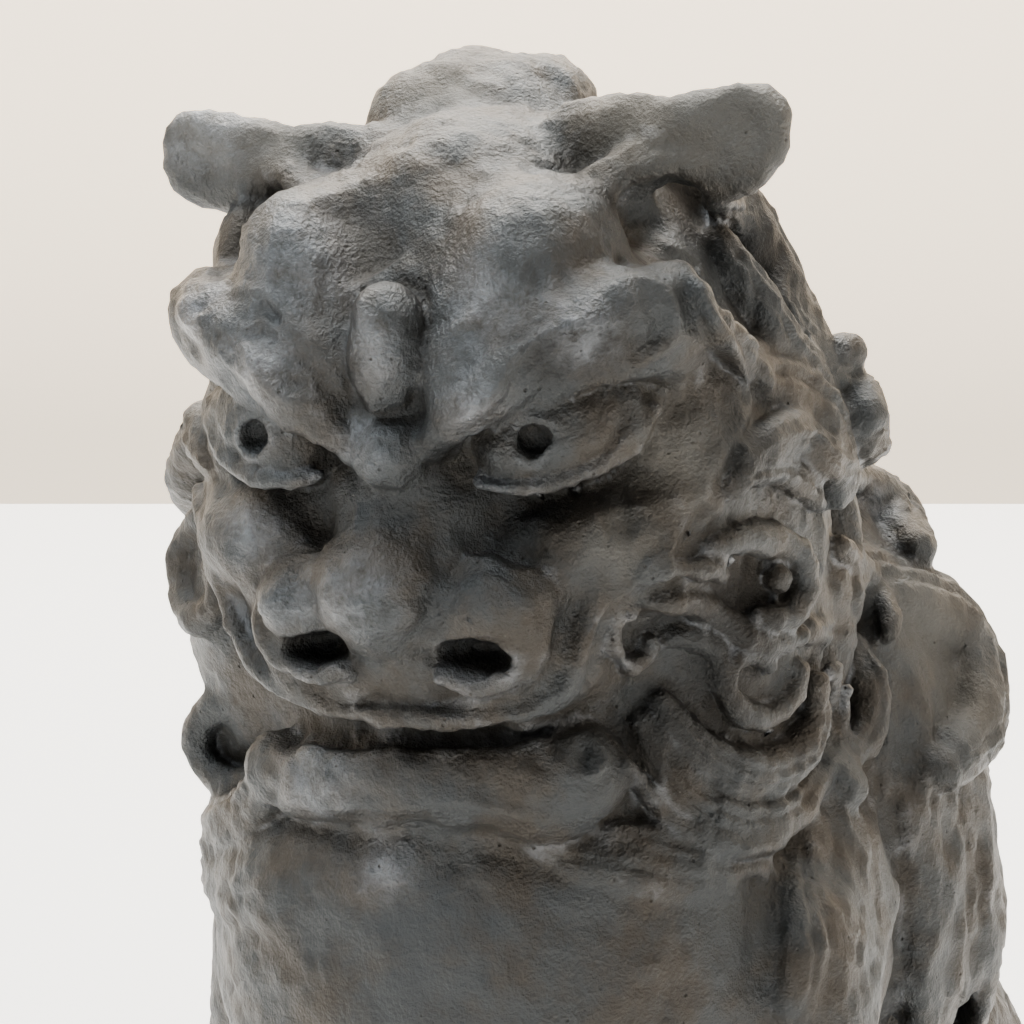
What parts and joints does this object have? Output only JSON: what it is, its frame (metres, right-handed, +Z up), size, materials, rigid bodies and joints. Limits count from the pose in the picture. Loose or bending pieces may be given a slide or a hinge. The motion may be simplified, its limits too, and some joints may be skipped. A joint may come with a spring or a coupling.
{
  "type": "komainu statue",
  "caption": "Seated guardian lion-dog in cast iron with a closed mouth, one blunt horn, level ears, a curled mane and a flame tail, on a low base with rounded corners.",
  "frame": {"origin": "centre of the underside of the base", "axes": "+Z up, -Y the way the figure faces, +X to the figure's own left"},
  "size_m": [0.112, 0.15, 0.1826],
  "materials": {
    "cast_iron": "sand-cast, dark grey with a thin brown patina"
  },
  "bodies": {
    "root": {"komainu": "cast_iron"}
  },
  "joints": []
}
